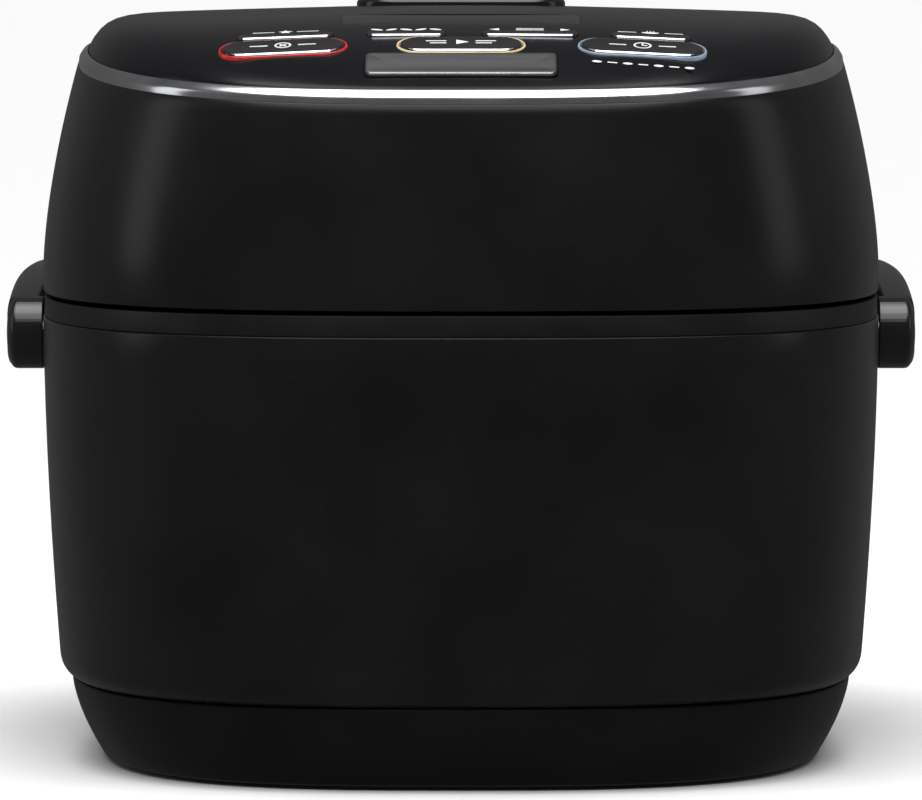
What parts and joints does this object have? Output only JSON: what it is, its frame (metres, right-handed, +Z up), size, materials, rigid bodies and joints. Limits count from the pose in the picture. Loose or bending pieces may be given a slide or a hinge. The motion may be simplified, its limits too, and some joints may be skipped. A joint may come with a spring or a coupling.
{
  "type": "rice cooker",
  "caption": "Induction rice cooker: rounded black body, hinged lid with sloping touch panel and trim ring, lift-out inner pot, steam cap and a carry handle folded back round the rear.",
  "frame": {"origin": "middle of the bounding box on the table, under the feet", "axes": "+X to the cooker's right seen from the front, +Y to the back, +Z up; the control panel faces -Y"},
  "size_m": [0.283, 0.3542, 0.2311],
  "materials": {
    "gloss_black": "glossy",
    "satin_black": "satin",
    "base_black": "fine textured",
    "rubber": "matte",
    "silicone": "matte",
    "fastener": "zinc plated",
    "spring_steel": "drawn wire",
    "sheet_alu": "brushed",
    "pot_coating": "non-stick coated",
    "former": "matte",
    "copper": "enamelled copper wire",
    "ferrite": "sintered",
    "mica": "laminated",
    "board_green": "solder mask",
    "component": "moulded",
    "trim_chrome": "satin chrome",
    "panel_black": "high gloss",
    "window": "smoked",
    "key_black": "glossy",
    "ring_red": "glossy",
    "ring_cream": "glossy",
    "ring_blue": "glossy",
    "legend": "printed",
    "plate_grey": "satin metallic"
  },
  "bodies": {
    "body": {"base_pan": "base_black", "rubber_feet": "rubber", "base_screws": "fastener", "body_shell": "gloss_black", "upper_collar": "satin_black", "pot_chamber": "sheet_alu", "coil_former": "former", "induction_coil": "copper", "ferrite_bars": "ferrite", "side_heater": "mica", "sensor_spring": "spring_steel", "inner_pot": "pot_coating", "main_board": "board_green", "board_screws": "fastener", "power_parts": "component", "heat_sink": "sheet_alu", "fan_housing": "satin_black", "power_inlet": "satin_black", "inlet_pins": "spring_steel", "hinge_pin": "fastener", "hinge_sleeve": "satin_black", "torsion_spring": "spring_steel", "latch_keeper": "fastener", "handle_pins": "fastener"},
    "lid": {"lid_shell": "gloss_black", "trim_ring": "trim_chrome", "control_panel": "panel_black", "display_window": "window", "display_module": "component", "control_board": "board_green", "key_switches": "component", "bezel_cancel": "ring_red", "bezel_start": "ring_cream", "bezel_timer": "ring_blue", "lid_liner": "satin_black", "lid_screws": "fastener", "lid_heater": "mica", "inner_lid": "sheet_alu", "lid_gasket": "silicone", "steam_duct": "satin_black", "duct_seal": "silicone", "hinge_arms": "satin_black", "hinge_screws": "fastener", "latch_bracket": "fastener", "latch_pin": "fastener", "latch_spring": "spring_steel"},
    "sensor": {"thermostat_sensor": "sheet_alu"},
    "fan": {"fan_rotor": "satin_black"},
    "handle": {"carry_handle": "gloss_black"},
    "latch": {"latch_hook": "fastener"},
    "release": {"release_plate": "plate_grey"},
    "cap": {"steam_cap": "panel_black"},
    "key_cancel": {"key_cancel": "key_black"},
    "key_start": {"key_start": "key_black"},
    "key_timer": {"key_timer": "key_black"},
    "key_favourite": {"key_favourite": "key_black"},
    "key_grain": {"key_grain": "key_black"},
    "key_menu": {"key_menu": "key_black"},
    "key_warm": {"key_warm": "key_black"}
  },
  "joints": [
    {"name": "lid_hinge", "type": "hinge", "parent": "body", "child": "lid", "pos_m": [0, 0.1459, 0.149], "axis": [-1, 0, 0], "range_deg": [0, 80]},
    {"name": "handle_fold", "type": "hinge", "parent": "body", "child": "handle", "pos_m": [0, -0.0121, 0.1282], "axis": [-1, 0, 0], "range_deg": [-90, 0]},
    {"name": "fan_spin", "type": "hinge", "parent": "body", "child": "fan", "pos_m": [0.04, 0.09452, 0.012], "axis": [0, 0, 1], "continuous": true},
    {"name": "sensor_slide", "type": "slide", "parent": "body", "child": "sensor", "axis": [0, 0, 1], "range_m": [-0.002, 0], "stiffness_N_per_m": 400, "springref_m": 0.003, "deforming": ["sensor_spring"]},
    {"name": "release_press", "type": "slide", "parent": "lid", "child": "release", "axis": [0, 0, -1], "range_m": [0, 0.002], "stiffness_N_per_m": 600, "springref_m": -0.001},
    {"name": "latch_turn", "type": "hinge", "parent": "lid", "child": "latch", "pos_m": [0, -0.1641, 0.163], "axis": [-1, 0, 0], "range_deg": [0, 9.5]},
    {"name": "cap_lift", "type": "slide", "parent": "lid", "child": "cap", "axis": [0, 0, 1], "range_m": [0, 0.03]},
    {"name": "key_cancel_press", "type": "slide", "parent": "lid", "child": "key_cancel", "axis": [-0.0474, -0.2908, 0.9556], "range_m": [-0.0006, 0], "stiffness_N_per_m": 1200, "springref_m": 0.0003},
    {"name": "key_start_press", "type": "slide", "parent": "lid", "child": "key_start", "axis": [0, -0.2828, 0.9592], "range_m": [-0.0006, 0], "stiffness_N_per_m": 1200, "springref_m": 0.0003},
    {"name": "key_timer_press", "type": "slide", "parent": "lid", "child": "key_timer", "axis": [0.0495, -0.2918, 0.9552], "range_m": [-0.0006, 0], "stiffness_N_per_m": 1200, "springref_m": 0.0003},
    {"name": "key_favourite_press", "type": "slide", "parent": "lid", "child": "key_favourite", "axis": [-0.041, -0.2125, 0.9763], "range_m": [-0.0006, 0], "stiffness_N_per_m": 1200, "springref_m": 0.0003},
    {"name": "key_grain_press", "type": "slide", "parent": "lid", "child": "key_grain", "axis": [-0.0053, -0.2107, 0.9775], "range_m": [-0.0006, 0], "stiffness_N_per_m": 1200, "springref_m": 0.0003},
    {"name": "key_menu_press", "type": "slide", "parent": "lid", "child": "key_menu", "axis": [0.0081, -0.2106, 0.9775], "range_m": [-0.0006, 0], "stiffness_N_per_m": 1200, "springref_m": 0.0003},
    {"name": "key_warm_press", "type": "slide", "parent": "lid", "child": "key_warm", "axis": [0.0464, -0.214, 0.9757], "range_m": [-0.0006, 0], "stiffness_N_per_m": 1200, "springref_m": 0.0003}
  ],
  "couplings": [
    {"joint": "latch_turn", "follows": "release_press", "rad_per_m": 82.574}
  ]
}
